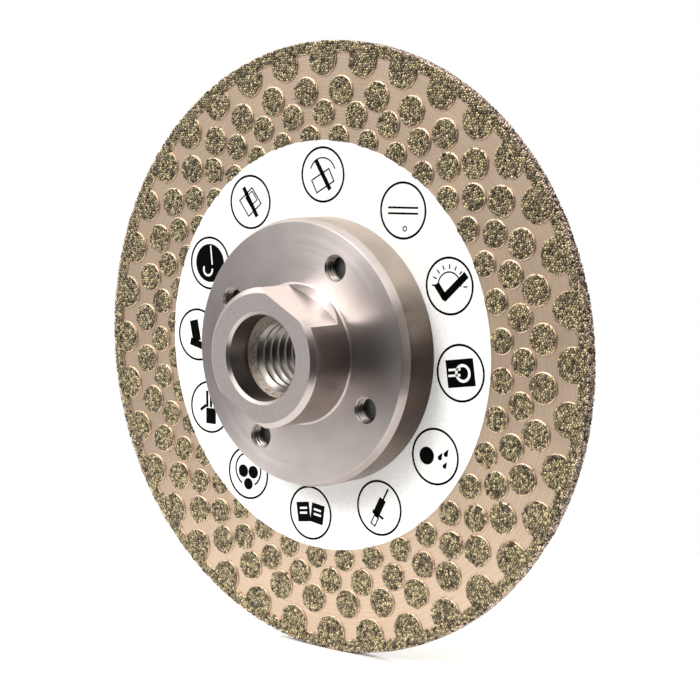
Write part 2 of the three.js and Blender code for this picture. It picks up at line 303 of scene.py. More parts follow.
def new_mesh(name, points, *face_sets):
    """A mesh from an array of points and arrays of faces, its faces outwards."""
    mesh = bpy.data.meshes.new(name)
    points = np.asarray(points, np.float32).reshape(-1, 3)
    mesh.vertices.add(len(points))
    mesh.vertices.foreach_set("co", points.ravel())
    corners = np.concatenate([faces.ravel() for faces in face_sets]).astype(np.int32)
    sizes = np.concatenate([np.full(len(faces), faces.shape[1]) for faces in face_sets])
    starts = np.concatenate([[0], np.cumsum(sizes)[:-1]]).astype(np.int32)
    mesh.loops.add(len(corners))
    mesh.loops.foreach_set("vertex_index", corners)
    mesh.polygons.add(len(sizes))
    mesh.polygons.foreach_set("loop_start", starts)
    mesh.update(calc_edges=True)
    mesh.validate()
    return outward(mesh)


def joined(name, parts):
    """One mesh of several closed surfaces, each given as its points and its faces."""
    starts = np.cumsum([0] + [len(points) for points, _ in parts])[:-1]
    face_sets = [faces + start for (_, faces), start in zip(parts, starts)]
    return new_mesh(name, np.concatenate([points for points, _ in parts]), *face_sets)


def new_object(name, mesh):
    """An object for a mesh, at the origin."""
    made = bpy.data.objects.new(name, mesh)
    bpy.context.scene.collection.objects.link(made)
    return made


def flatten(mesh, direction, least=0.99995):
    """Shades the faces square to a direction flat, so the rounded edges beside them don't bend the
    reflections of the long triangles that a cut leaves. A face is square if the cosine of its
    normal's angle from the direction is over the least."""
    square = np.abs(read(mesh.polygons, "normal", 3) @ np.array(direction)) > least
    smooth = read(mesh.polygons, "use_smooth", kind=bool)
    mesh.polygons.foreach_set("use_smooth", smooth & ~square)
    mesh.update()


def dress(piece, materials, nodes=(), smooth=30):
    """Gives a finished piece its materials and its body, and hides the nodes that it
    stands for. Edges sharper than the angle smooth, in degrees, stay sharp; 0 leaves it faceted."""
    for material in materials:
        piece.data.materials.append(material)
    if smooth:
        piece.data.shade_smooth()
        piece.data.set_sharp_from_angle(angle=math.radians(smooth))
        flatten(piece.data, (0, 1, 0))
    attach(piece, BODY)
    if nodes:
        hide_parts(*nodes)
    return piece


def applied(piece):
    """Turns a piece's modifiers into its mesh."""
    graph = bpy.context.evaluated_depsgraph_get()
    mesh = bpy.data.meshes.new_from_object(piece.evaluated_get(graph))
    piece.modifiers.clear()
    piece.data = mesh
    return piece


def cut(piece, mesh):
    """Cuts a mesh out of a piece."""
    cutter = new_object("cutter", mesh)
    modifier = piece.modifiers.new("cut", "BOOLEAN")
    modifier.operation = "DIFFERENCE"
    modifier.solver = "EXACT"
    modifier.object = cutter
    applied(piece)
    bpy.data.objects.remove(cutter)
    if not piece.data.polygons:
        raise RuntimeError(f"nothing is left of {piece.name} after a cut")
    return piece


def around(centre, radius, height, angle):
    """Points round a line parallel to the spin axis: x and z are the centre's plus the radius times
    the angle's cosine and sine, and y is minus the height."""
    x = centre[0] + radius * np.cos(angle)
    z = centre[1] + radius * np.sin(angle)
    return np.stack(np.broadcast_arrays(x, -height, z), -1)


def on_circle(radius, angle, centre=(0, 0)):
    """The x and z of an angle on a circle: the centre's plus the radius times cosine and sine."""
    return np.stack([centre[0] + radius * np.cos(angle), centre[1] + radius * np.sin(angle)], -1)


def spun(flat, angle):
    """Flat points turned about the origin, to x cos - z sin and x sin + z cos."""
    x, z = flat[..., 0], flat[..., 1]
    cosine, sine = np.cos(angle), np.sin(angle)
    return np.stack([x * cosine - z * sine, x * sine + z * cosine], -1)


def rounded(corners, steps=5):
    """A closed outline with rounded corners. Each corner is (radius, height, rounding): an arc that
    touches both sides, centred on the corner's bisector at rounding / sin(half angle). A corner
    with no rounding, or so blunt that an arc would be a point, stays as it is."""
    outline = []
    places = np.array([corner[:2] for corner in corners], float)
    for i, (place, corner) in enumerate(zip(places, corners)):
        to_last = places[i - 1] - place
        to_next = places[(i + 1) % len(places)] - place
        to_last /= np.linalg.norm(to_last)
        to_next /= np.linalg.norm(to_next)
        half = math.acos(np.clip(to_last @ to_next, -1, 1)) / 2
        if corner[2] == 0 or half > math.radians(89):
            outline.append(place[None])
            continue
        bisector = (to_last + to_next) / np.linalg.norm(to_last + to_next)
        centre = place + bisector * corner[2] / math.sin(half)
        tangent = corner[2] / math.tan(half)
        first = place + to_last * tangent - centre
        last = place + to_next * tangent - centre
        sweep = math.pi - 2 * half
        share = np.linspace(0, 1, steps)[:, None]
        arc = np.sin((1 - share) * sweep) * first + np.sin(share * sweep) * last
        outline.append(centre + arc / math.sin(sweep))
    return np.concatenate(outline)


def turned(name, outline, segments, centre=(0.0, 0.0)):
    """A closed outline of radius and height carried round a line parallel to the spin axis."""
    angle = np.linspace(0, TURN, segments, endpoint=False)[:, None]
    radius, height = np.asarray(outline).T
    points = around(centre, radius, height, angle)
    return welded(new_mesh(name, points, quads(segments, len(height))))


def welded(mesh, least=1e-7):
    """Closes the poles of a turned mesh, by merging the points that lie on its axis."""
    work = bmesh.new()
    work.from_mesh(mesh)
    bmesh.ops.remove_doubles(work, verts=work.verts, dist=least)
    bmesh.ops.dissolve_degenerate(work, edges=work.edges, dist=least)
    work.to_mesh(mesh)
    work.free()
    return mesh


def threaded_bar(radius, pitch, phase, low, high, centre=(0.0, 0.0), steps=72):
    """A bar with an ISO thread: a strip of edges across one ridge climbs a right-hand helix, so a
    point's height is the pitch times (its turns + its share of the ridge), and each turn's last
    edge is joined to the next turn's first. Fans to points on the axis close both ends, a turn
    beyond the two heights."""
    share = np.array(THREAD_HEIGHTS)
    edge_radius = radius - THREAD_DEPTH * pitch * np.array(THREAD_SINK)
    edges = len(share)
    last = edges - 1
    first_turn = math.floor((low - phase) / pitch) - 1
    turns = math.ceil((high - low) / pitch) + 3
    count = turns * steps
    step = np.arange(count + 1)[:, None]
    angle = TURN * (step % steps) / steps
    height = phase + pitch * (first_turn + step / steps + share)
    points = around(centre, edge_radius, height, angle).reshape(-1, 3)
    tips = [[centre[0], points[end, 1], centre[1]] for end in (0, -1)]
    low_tip = len(points)
    high_tip = low_tip + 1
    strip = quads(count + 1, edges, closed_rows=False, closed_columns=False)
    joint = np.arange(count - steps)
    seam = faces_of(
        joint * edges + last,
        (joint + 1) * edges + last,
        (joint + 1 + steps) * edges,
        (joint + steps) * edges,
    )
    foot = np.arange(steps)
    head = count - foot
    across = np.arange(last)
    fans = np.concatenate(
        [
            faces_of(low_tip, foot * edges, (foot + 1) * edges),
            faces_of(high_tip, head * edges + last, (head - 1) * edges + last),
            faces_of(low_tip, across + 1, across),
            faces_of(high_tip, count * edges + across, count * edges + across + 1),
            faces_of(low_tip, steps * edges, last),
            faces_of(high_tip, (count - steps) * edges + last, count * edges),
        ]
    )
    # The strip's faces run round the other way from the fans'.
    return new_mesh("thread", np.concatenate([points, tips]), strip[:, ::-1], seam[:, ::-1], fans)


# ---------------------------------------------------------------- materials


def add_node(tree, kind, **settings):
    """A node of a kind in a tree, with its settings."""
    made = tree.nodes.new(kind)
    for key, value in settings.items():
        setattr(made, key, value)
    return made


class Finish:
    """A material being made: its node tree, its Principled shader, and short ways to add nodes."""

    def __init__(self, name, base, metallic, roughness):
        self.material = bpy.data.materials.new(name)
        self.material.use_nodes = True
        self.tree = self.material.node_tree
        self.shader = self.tree.nodes["Principled BSDF"]
        self.shader.inputs["Base Color"].default_value = (*base, 1)
        self.shader.inputs["Metallic"].default_value = metallic
        self.shader.inputs["Roughness"].default_value = roughness
        self.place = self.node("ShaderNodeTexCoord").outputs["Object"]

    def node(self, kind, **settings):
        """A new node with its settings."""
        return add_node(self.tree, kind, **settings)

    def link(self, source, target):
        """Joins an output to an input."""
        self.tree.links.new(source, target)

    def use(self, socket, source):
        """Joins an output to one of the shader's inputs."""
        self.link(source, self.shader.inputs[socket])

    def math(self, operation, *values):
        """A calculation with one to three values, each a number or another node's output."""
        made = self.node("ShaderNodeMath", operation=operation)
        for socket, value in zip(made.inputs, values):
            if isinstance(value, (int, float)):
                socket.default_value = value
            else:
                self.link(value, socket)
        return made.outputs[0]

    def noise(self, scale, detail, roughness=0.5):
        """Noise of the place on the object."""
        made = self.node("ShaderNodeTexNoise")
        made.inputs["Scale"].default_value = scale
        made.inputs["Detail"].default_value = detail
        made.inputs["Roughness"].default_value = roughness
        self.link(self.place, made.inputs["Vector"])
        return made.outputs["Fac"]

    def lines(self, value, scale, detail):
        """Noise of one number, so points where that number is the same get the same mark."""
        made = self.node("ShaderNodeTexNoise", noise_dimensions="1D")
        made.inputs["Scale"].default_value = scale
        made.inputs["Detail"].default_value = detail
        self.link(value, made.inputs["W"])
        return made.outputs["Fac"]

    def tone(self):
        """The piece's own tone, which each crystal has at random."""
        return self.node("ShaderNodeAttribute", attribute_name="tone").outputs["Fac"]

    def ring_place(self):
        """Radius plus height: it changes across a turned surface and is constant along its cut."""
        split = self.node("ShaderNodeSeparateXYZ")
        self.link(self.place, split.inputs[0])
        x, y, z = split.outputs
        squares = self.math("ADD", self.math("MULTIPLY", x, x), self.math("MULTIPLY", z, z))
        return self.math("SUBTRACT", self.math("SQRT", squares), y)

    def ramp(self, value, stops):
        """Colours for a value from 0 to 1, from stops of a value and its colour."""
        made = self.node("ShaderNodeValToRGB")
        elements = made.color_ramp.elements
        while len(elements) < len(stops):
            elements.new(0.5)
        for element, (place, shade) in zip(elements, stops):
            element.position = place
            element.color = (*shade, 1)
        self.link(value, made.inputs["Fac"])
        return made.outputs["Color"]

    def spread(self, value, low, high):
        """A value from 0 to 1 moved to the range low to high."""
        made = self.node("ShaderNodeMapRange")
        made.inputs["To Min"].default_value = low
        made.inputs["To Max"].default_value = high
        self.link(value, made.inputs["Value"])
        return made.outputs["Result"]

    def bump(self, value, distance, strength, normal=None):
        """A surface moved by a value, on top of another one's normal if that is given."""
        made = self.node("ShaderNodeBump")
        made.inputs["Strength"].default_value = strength
        made.inputs["Distance"].default_value = distance
        self.link(value, made.inputs["Height"])
        if normal is not None:
            self.link(normal, made.inputs["Normal"])
        return made.outputs["Normal"]

    def round_grain(self, amount):
        """Stretches highlights across the lathe's marks, which run round the spin axis: the tangent
        runs along them, and a quarter turn puts the wide blur across."""
        self.shader.inputs["Anisotropic"].default_value = amount
        self.shader.inputs["Anisotropic Rotation"].default_value = 0.25
        tangent = self.node("ShaderNodeTangent", direction_type="RADIAL", axis="Y")
        self.use("Tangent", tangent.outputs[0])


def tinted(base, share):
    """A colour made darker or lighter, up to full brightness."""
    return [min(1, share * part) for part in base]


def shades(base, low, high):
    """Two tints of a colour, as a ramp's stops."""
    return [(0.3, tinted(base, low)), (0.7, tinted(base, high))]


def nickel_finish(base):
    """Satin nickel plate: warm, slightly cloudy, over the wavy lathe marks of the steel below."""
    finish = Finish("satin_nickel", base, 1.0, 0.42)
    cloud = finish.noise(90, 4)
    grain = finish.noise(5200, 2)
    wavy = finish.math("MULTIPLY_ADD", finish.noise(260, 3), 0.9 * MM, finish.ring_place())
    marks = finish.lines(wavy, 3600, 3)
    tint = finish.math("MULTIPLY_ADD", marks, 0.7, finish.math("MULTIPLY", cloud, 0.3))
    finish.use("Base Color", finish.ramp(tint, shades(base, 0.86, 1.12)))
    finish.use("Roughness", finish.spread(cloud, 0.36, 0.48))
    first = finish.bump(marks, 0.03 * MM, 0.4)
    finish.use("Normal", finish.bump(grain, 0.02 * MM, 0.35, first))
    return finish.material


def shaded_bed_finish(base):
    """Nickel between the crystals: rough and lumpy, its colour a much darker copy of the plate's
    nickel as painted shade between the crystals.
    """
    finish = Finish("grit_bed_painted_shade", base, 1.0, 0.5)
    lumps = finish.noise(3200, 3)
    # Painted shade: the plate's nickel at 8 to 40 percent of its brightness.
    finish.use("Base Color", finish.ramp(lumps, shades(base, 0.08, 0.4)))
    finish.use("Normal", finish.bump(lumps, 0.12 * MM, 0.9))
    return finish.material


def crystal_finish(dark, light):
    """Diamond crystals: each has its own tone, from the piece's attribute, and a glassy face."""
    finish = Finish("diamond_crystals", light, 0.5, 0.16)
    finish.use("Base Color", finish.ramp(finish.tone(), [(0.0, dark), (1.0, light)]))
    finish.shader.inputs["IOR"].default_value = 1.6
    return finish.material


def edge_finish(base):
    """The wheel's outer edge: crystals under a coppery, shiny coat, some left bare and dark."""
    finish = Finish("coated_crystals", base, 0.95, 0.24)
    stops = [(0.15, tinted(base, 0.12)), (0.45, base), (1.0, tinted(base, 1.5))]
    finish.use("Base Color", finish.ramp(finish.tone(), stops))
    return finish.material


def steel_finish(name, base, roughness, grain):
    """Turned steel: fine rings round the spin axis and highlights stretched across them."""
    finish = Finish(name, base, 1.0, roughness)
    rings = finish.ring_place()
    fine = finish.lines(rings, FINE_MARKS, 3)
    broad = finish.lines(rings, 900, 2)
    cloud = finish.noise(160, 3)
    finish.use("Base Color", finish.ramp(cloud, shades(base, 0.92, 1.06)))
    finish.use("Roughness", finish.spread(broad, roughness - 0.05, roughness + 0.06))
    first = finish.bump(fine, 0.01 * MM, 0.3)
    finish.use("Normal", finish.bump(broad, 0.02 * MM, 0.15, first))
    finish.round_grain(grain)
    return finish.material


def side_brown_and_shade_finish(bare, brown_and_shade):
    """The flange's side: turned steel with a brownish tint, and painted shade that changes with z
    for
    the dark reflections on the side: half way between bare and dark at the bottom, darkest below
    and about the middle, and bare at the top, with a ragged edge."""
    finish = Finish("side_steel_brown_and_shade", bare, 1.0, 0.36)
    split = finish.node("ShaderNodeSeparateXYZ")
    finish.link(finish.place, split.inputs[0])
    ragged = finish.math("MULTIPLY_ADD", finish.noise(60, 4), 6 * MM, split.outputs[2])
    share = finish.math("MULTIPLY_ADD", ragged, 0.5 / FLANGE_RADIUS, 0.5 - 1.5 * MM / FLANGE_RADIUS)
    # Painted shade: the bottom is half bare steel and half the dark brownish colour, and the middle
    # is fully dark.
    below = [0.45 * a + 0.55 * b for a, b in zip(bare, brown_and_shade)]
    stops = [(0.06, below), (0.3, brown_and_shade), (0.58, brown_and_shade), (0.8, bare)]
    finish.use("Base Color", finish.ramp(share, stops))
    fine = finish.lines(finish.ring_place(), FINE_MARKS, 3)
    finish.use("Roughness", finish.spread(finish.noise(400, 3), 0.3, 0.44))
    finish.use("Normal", finish.bump(fine, 0.01 * MM, 0.3))
    finish.round_grain(0.6)
    return finish.material


def flat_finish(base):
    """The wrench flats: milled steel with short scratches and a few dark nicks."""
    finish = Finish("milled_steel", base, 1.0, 0.34)
    nicks = finish.noise(900, 4, 0.7)
    finish.use("Base Color", finish.ramp(nicks, [(0.30, tinted(base, 0.25)), (0.37, base)]))
    grain = finish.noise(3000, 3)
    finish.use("Normal", finish.bump(grain, 0.02 * MM, 0.5))
    return finish.material


def drilled_finish(base):
    """The counterbore's drilled floor: torn, pitted steel with dark pits and bright crumbs."""
    finish = Finish("drilled_steel", base, 1.0, 0.42)
    pits = finish.noise(2600, 5, 0.75)
    stops = [(0.36, tinted(base, 0.12)), (0.46, base), (0.58, base), (0.72, tinted(base, 2.2))]
    finish.use("Base Color", finish.ramp(pits, stops))
    finish.use("Normal", finish.bump(pits, 0.14 * MM, 0.9))
    return finish.material


def granular_finish(base):
    """The boss's end: faced steel with a fine grain that has no direction."""
    finish = Finish("faced_steel", base, 1.0, 0.45)
    grain = finish.noise(4200, 3)
    finish.use("Base Color", finish.ramp(grain, shades(base, 0.82, 1.08)))
    finish.use("Normal", finish.bump(grain, 0.03 * MM, 0.6))
    return finish.material


def plain_finish(name, base, metallic, roughness, grain=2500, depth=0.01):
    """A finish with a light surface grain and slight patches of tone."""
    finish = Finish(name, base, metallic, roughness)
    patches = finish.noise(grain, 3)
    finish.use("Base Color", finish.ramp(patches, shades(base, 0.93, 1.04)))
    finish.use("Normal", finish.bump(patches, depth * MM, 0.3))
    return finish.material


# ---------------------------------------------------------------- disc, pads and rim


def pad_angles(disc, half_step):
    """The angle of each pad in a row: the first pad's plus whole steps, or steps and a half."""
    step = TURN / disc.pads_per_row
    return disc.first_pad_angle + step * (np.arange(disc.pads_per_row) + (0.5 if half_step else 0))


def pad_centres(disc, row):
    """The x and z of the pads in an inner row; the first and third rows are turned half a step."""
    return on_circle(DISC_RADIUS - disc.row_insets[row], pad_angles(disc, row % 2 == 0))


def face_height(side, above):
    """A height above the front face, or below the back face, as a height along the axis."""
    return PLATE_FRONT + above if side == FRONT else PLATE_BACK - above


def plate_ring(name, low, high, material, slot, node):
    """One layer of the disc: a flat ring with four countersunk holes."""
    bore = bpy.context.scene.wheel_hub.pilot_radius + 0.1 * MM
    edge = 0.02 * MM
    places = [(bore, low), (STEEL_RADIUS, low), (STEEL_RADIUS, high), (bore, high)]
    outline = rounded([(*place, edge) for place in places], 3)
    piece = new_object(name, turned(name, outline, DISC_SEGMENTS))
    for centre in screw_places():
        cut(piece, screw_cutter(centre))
    return dress(piece, [material], [node])


def countersink(narrow):
    """The cone of a countersink's cutter: its middle, its mouth, and the place where, at 45
    degrees, it has come down to the narrow radius."""
    height = COUNTERSINK_BACK + COUNTERSINK_MOUTH - narrow
    return [(0, COUNTERSINK_BACK), (COUNTERSINK_MOUTH, COUNTERSINK_BACK), (narrow, height)]


def screw_cutter(centre):
    """The cone that a screw's head sits in, with the clear hole beyond it."""
    narrow = bpy.context.scene.wheel_hub.screw_radius
    outline = [*countersink(narrow), (narrow, 2 * MM), (0, 2 * MM)]
    return turned("cutter", outline, SCREW_SEGMENTS, centre)


def screw_head_cutter(centre):
    """The countersink in the flange's back, where a screw's head passes the disc."""
    cone = countersink(0.4 * MM)
    return turned("cutter", [*cone, (0, cone[-1][1])], SCREW_SEGMENTS, centre)


def make_pads(disc, side, name, segments=20):
    """Nickel buttons: rings of a rounded shoulder carried round each pad's centre, with a flat bed
    on top for the crystals."""
    inwards, above = (np.array(PAD_SHOULDER) * [disc.shoulder, disc.bed_height]).T[:, :, None]
    angle = np.linspace(0, TURN, segments, endpoint=False)
    points = []
    for row, radius in enumerate(disc.row_radii):
        centre = pad_centres(disc, row).T[:, :, None, None]
        points.append(around(centre, radius - inwards, face_height(side, above), angle))
    points = np.concatenate(points)
    count, rings = points.shape[:2]
    wall = quads(rings, segments, closed_rows=False)
    first = (np.arange(count) * rings * segments)[:, None]
    walls = (first[:, :, None] + wall).reshape(-1, 4)
    loop = np.arange(segments)
    beds = first + (rings - 1) * segments + loop
    return new_object(name, pads_mesh(name, points, walls, beds, first + loop, side))


def pads_mesh(name, points, walls, beds, feet, side):
    """Joins the walls, beds and feet of the pads, each turned outwards on its side of the disc. The
    beds have the second material."""
    if side == FRONT:
        walls = walls[:, ::-1]
        feet = feet[:, ::-1]
    else:
        beds = beds[:, ::-1]
    mesh = new_mesh(name, points, walls, beds, feet)
    index = np.zeros(len(mesh.polygons), np.int32)
    index[len(walls) : len(walls) + len(beds)] = 1
    mesh.polygons.foreach_set("material_index", index)
    return mesh


def lattice(radius, spacing):
    """A triangular lattice of points that covers a circle: each row is half a spacing to one side
    of the last."""
    count = int(radius / (LATTICE_ROW * spacing)) + 2
    i, j = np.meshgrid(np.arange(-count, count + 1), np.arange(-count, count + 1))
    points = np.stack([(i + 0.5 * (j % 2)) * spacing, j * spacing * LATTICE_ROW], -1)
    points = points.reshape(-1, 2)
    return points[np.hypot(*points.T) < radius + spacing]


def turn_matrices(turn):
    """The matrix of each unit quaternion w, x, y, z, with the crystals along the last axis."""
    w, x, y, z = turn / np.linalg.norm(turn, axis=0)
    return np.stack(
        [
            [1 - 2 * (y * y + z * z), 2 * (x * y - z * w), 2 * (x * z + y * w)],
            [2 * (x * y + z * w), 1 - 2 * (x * x + z * z), 2 * (y * z - x * w)],
            [2 * (x * z - y * w), 2 * (y * z + x * w), 1 - 2 * (x * x + y * y)],
        ]
    )


def crystals(name, centres, size, seed, trim):
    """Blocky crystals: the eight corners of a cube, each moved a little at random, the block turned
    by a random unit quaternion and set at its centre; trim then holds every corner inside the
    surface that the wheel was dressed to. Each crystal has a random tone."""
    random = np.random.default_rng(seed)
    count = len(centres)
    sides = np.array([-0.5, 0.5])
    cube = np.stack(np.meshgrid(sides, sides, sides, indexing="ij"), -1).reshape(8, 3)
    blocks = cube * random.uniform(0.65, 1.1, (count, 1, 3))
    corners = blocks + random.normal(0, 0.05, (count, 8, 3))
    matrix = turn_matrices(random.normal(size=(4, count)))
    scale = size * random.uniform(0.75, 1.15, (count, 1, 1))
    points = trim(centres[:, None] + scale * np.einsum("ijn,nkj->nki", matrix, corners))
    cube_faces = np.array(
        [[0, 1, 3, 2], [4, 6, 7, 5], [0, 4, 5, 1], [2, 3, 7, 6], [0, 2, 6, 4], [1, 5, 7, 3]]
    )
    triangles = np.concatenate([cube_faces[:, [0, 1, 2]], cube_faces[:, [0, 2, 3]]])
    faces = (8 * np.arange(count)[:, None, None] + triangles).reshape(-1, 3)
    mesh = new_mesh(name, points, faces)
    tone = mesh.attributes.new("tone", "FLOAT", "POINT")
    tone.data.foreach_set("value", np.repeat(random.beta(1.6, 2.2, count), 8).astype(np.float32))
    return new_object(name, mesh)


def trim_to_face(side):
    """Holds points under the dressed height of one face's grit, and inside the wheel's edge."""
    limit = -(BAND_FRONT if side == FRONT else BAND_BACK)

    def trim(points):
        points = trim_to_edge(points)
        y = points[..., 1]
        points[..., 1] = np.maximum(y, limit) if side == FRONT else np.minimum(y, limit)
        return points

    return trim


def trim_to_edge(points):
    """Holds points inside the wheel's outer radius and between its two dressed faces."""
    reach = np.hypot(points[..., 0], points[..., 2])
    points[..., [0, 2]] *= np.minimum(1, DISC_RADIUS / reach)[..., None]
    points[..., 1] = np.clip(points[..., 1], -BAND_FRONT, -BAND_BACK)
    return points


def on_face(disc, flat, side, random):
    """Points on the bed of a face from their x and z, with a small random spread of height."""
    spread = random.normal(0, SPREAD * disc.crystal, len(flat))
    height = face_height(side, disc.bed_height) + spread
    return np.stack([flat[:, 0], -height, flat[:, 1]], -1)


def clear_of_label(flat, margin):
    """Whether each point is further from the label's centre than its radius and a margin."""
    reach = np.hypot(flat[:, 0] - LABEL_CENTRE[0], flat[:, 1] - LABEL_CENTRE[1])
    return reach > LABEL_RADIUS + margin


def pad_grit(disc, side, seed):
    """Crystal centres on the inner rows: the lattice, turned and shaken differently on each pad,
    and kept inside the pad's bed."""
    random = np.random.default_rng(seed)
    room = ROOM * disc.crystal
    count = disc.pads_per_row
    centres = []
    for row, radius in enumerate(disc.row_radii):
        reach = radius - 0.5 * disc.shoulder
        base = lattice(reach, disc.spacing)
        turn = random.uniform(0, TURN, (count, 1))
        shake = random.normal(0, SHAKE * disc.spacing, (count, len(base), 2))
        shift = random.uniform(-0.5, 0.5, (count, 1, 2)) * disc.spacing
        local = spun(base, turn) + shake + shift
        inside = np.hypot(local[..., 0], local[..., 1]) < reach - room
        centres.append((pad_centres(disc, row)[:, None] + local)[inside])
    flat = np.concatenate(centres)
    if side == FRONT:
        flat = flat[clear_of_label(flat, room)]
    return on_face(disc, flat, side, random)


def rim_grit(disc, side, seed):
    """Crystal centres on the rim band and its pads: a lattice over the whole ring, kept where it is
    inside the band or inside a pad's circle. The pad is the nearest one, so the angle is measured
    from its middle."""
    random = np.random.default_rng(seed)
    room = ROOM * disc.crystal
    inset, radius = disc.rim_row
    flat = lattice(DISC_RADIUS, disc.spacing)
    flat = flat[np.hypot(*flat.T) > DISC_RADIUS - inset - radius]
    flat = flat + random.normal(0, SHAKE * disc.spacing, flat.shape)
    reach = np.hypot(*flat.T)
    angle = np.arctan2(flat[:, 1], flat[:, 0])
    step = TURN / disc.pads_per_row
    off = (angle - disc.first_pad_angle + step / 2) % step - step / 2
    to_pad = np.hypot(reach * np.cos(off) - (DISC_RADIUS - inset), reach * np.sin(off))
    in_band = reach > DISC_RADIUS - disc.band_width + room
    in_pad = to_pad < radius - 0.5 * disc.shoulder - room
    kept = (in_band | in_pad) & (reach < DISC_RADIUS - room)
    return on_face(disc, flat[kept], side, random)


def edge_grit(disc, seed):
    """Crystal centres round the wheel's edge: a lattice of angle and height."""
    random = np.random.default_rng(seed)
    bed = DISC_RADIUS - 0.2 * MM
    round_count = int(TURN * bed / disc.spacing)
    thickness = BAND_FRONT - BAND_BACK
    rows = int(thickness / (LATTICE_ROW * disc.spacing)) + 1
    i, j = np.meshgrid(np.arange(round_count), np.arange(rows))
    angle = TURN * (i + 0.5 * (j % 2)) / round_count
    height = BAND_BACK + thickness * (j + 0.5) / rows
    angle = angle + random.normal(0, SHAKE, angle.shape) * disc.spacing / bed
    height = height + random.normal(0, SHAKE * disc.spacing, height.shape)
    radius = bed + random.normal(0, SPREAD * disc.crystal, angle.shape)
    return around((0, 0), radius, height, angle).reshape(-1, 3)


def rim_boundary(disc):
    """The inner edge of the rim band as points, directions into the band, and directions from the
    wheel's axis that always move on: round each pad from one meeting with the band's circle to the
    other, then along that circle to the next pad."""
    inset, radius = disc.rim_row
    centre = DISC_RADIUS - inset
    band = DISC_RADIUS - disc.band_width
    reach = math.acos((centre**2 + radius**2 - band**2) / (2 * centre * radius))
    meeting = math.acos((centre**2 + band**2 - radius**2) / (2 * centre * band))
    turn = np.linspace(-reach, reach, 27)
    along = np.linspace(meeting, TURN / disc.pads_per_row - meeting, 5)[1:-1]
    pad = np.stack([centre - radius * np.cos(turn), radius * np.sin(turn)], -1)
    place = np.concatenate([pad, on_circle(band, along)])
    direction = np.concatenate([on_circle(1, -turn), on_circle(1, along)])
    onward = on_circle(1, np.concatenate([1.05 * meeting * turn / reach, along]))
    angle = pad_angles(disc, False)[:, None]
    return [spun(local, angle).reshape(-1, 2) for local in (place, direction, onward)]


def make_rim_bed(disc, materials):
    """The nickel under the rim's grit: a closed loop of rows, each the band's lobed inner edge
    moved into the band, or a circle, from the front pads round the edge to the back and home
    inside."""
    place, direction, outwards = rim_boundary(disc)
    bed = disc.bed_height
    shoulder = np.array(RIM_SHOULDER) * [disc.shoulder, bed]
    inner = STEEL_RADIUS + 0.02 * MM
    outer = DISC_RADIUS - 0.18 * MM
    # How far the bed's rounded edge is inside its radius and below its height.
    rounding = np.array([(0.25, 0), (0.06, 0.05), (0, 0.2)]) * MM
    front = [(place + direction * inwards, above) for inwards, above in shoulder]
    back = [(place + direction * inwards, PLATE_BACK - above) for inwards, above in shoulder[::-1]]
    edge = [(outwards * (outer - inwards), bed - below) for inwards, below in rounding]
    edge += [
        (outwards * (outer - inwards), PLATE_BACK - bed + below)
        for inwards, below in rounding[::-1]
    ]
    inside = [(outwards * inner, PLATE_BACK), (outwards * inner, PLATE_FRONT)]
    rows = front + edge + back + inside
    points = np.stack(
        [np.stack([flat[:, 0], np.full(len(flat), -h), flat[:, 1]], -1) for flat, h in rows]
    )
    mesh = new_mesh("rim_bed", points, quads(len(rows), len(place)))
    row = np.repeat(np.arange(len(rows)), len(place))
    shiny = (row < len(front) - 1) | (row >= len(front) + len(edge))
    # The shoulders keep the plate's nickel; the other rows get the darker bed, painted shade
    # between the crystals.
    mesh.polygons.foreach_set("material_index", np.where(shiny, 0, 1).astype(np.int32))
    return dress(new_object("rim_bed", mesh), materials, ["rim_band"], 50)


# ---------------------------------------------------------------- label


def ring_plate(centre, inner, outer, low, high, segments, inner_centre=None):
    """A flat ring between two circles, as a closed loop of four edges carried round; the two
    circles may have different centres. Returns points and faces."""
    angle = np.linspace(0, TURN, segments, endpoint=False)[:, None]
    radius = np.array([inner, outer, outer, inner])
    height = np.array([low, low, high, high])
    hole = centre if inner_centre is None else inner_centre
    centres = np.array([hole, centre, centre, hole]).T
    return around(centres, radius, height, angle).reshape(-1, 3), quads(segments, 4)


def round_outline(radius, centre=(0, 0), corners=40, start=0.0, sweep=TURN):
    """Points along an arc, or round a circle without its first point again."""
    angle = start + np.linspace(0, sweep, corners, endpoint=sweep < TURN)
    return on_circle(radius, angle, centre)


def bar_outline(size, width, turn=0.0, centre=(0, 0)):
    """A rectangle with its size along a direction, in degrees from +X, and its width across."""
    half = np.array([[-1, -1], [1, -1], [1, 1], [-1, 1]]) * [size / 2, width / 2]
    return spun(half, math.radians(turn)) + centre


def framed(size, width, line, turn=0.0, centre=(0, 0)):
    """The four bars of an open rectangle."""
    along, across = spun(np.eye(2), math.radians(turn))
    bars = []
    for sign in (-1, 1):
        beside = centre + across * sign * width / 2
        beyond = centre + along * sign * size / 2
        bars.append(bar_outline(size + line, line, turn, beside))
        bars.append(bar_outline(width - line, line, turn + 90, beyond))
    return bars


def ticks(radius, count, start, sweep, size, line):
    """Short bars on an arc, pointing at its centre."""
    turns = start + sweep * np.linspace(0, 1, count)
    return [bar_outline(size, line, turn, on_circle(radius, math.radians(turn))) for turn in turns]


def arc_band(radius, line, start, sweep, centre=(0, 0)):
    """A curved bar: an arc out and the same arc, a line's width smaller, back."""
    start, sweep = math.radians(start), math.radians(sweep)
    out, back = [
        round_outline(reach, centre, 24, start, sweep) for reach in (radius, radius - line)
    ]
    return np.concatenate([out, back[::-1]])


def drop(centre, size, turn):
    """A drop: a half circle that runs to a point."""
    half = round_outline(size, (0, 0), 12, math.pi, math.pi)
    shape = np.concatenate([half, [[0, 2.6 * size]]])
    return spun(shape, math.radians(turn)) + centre


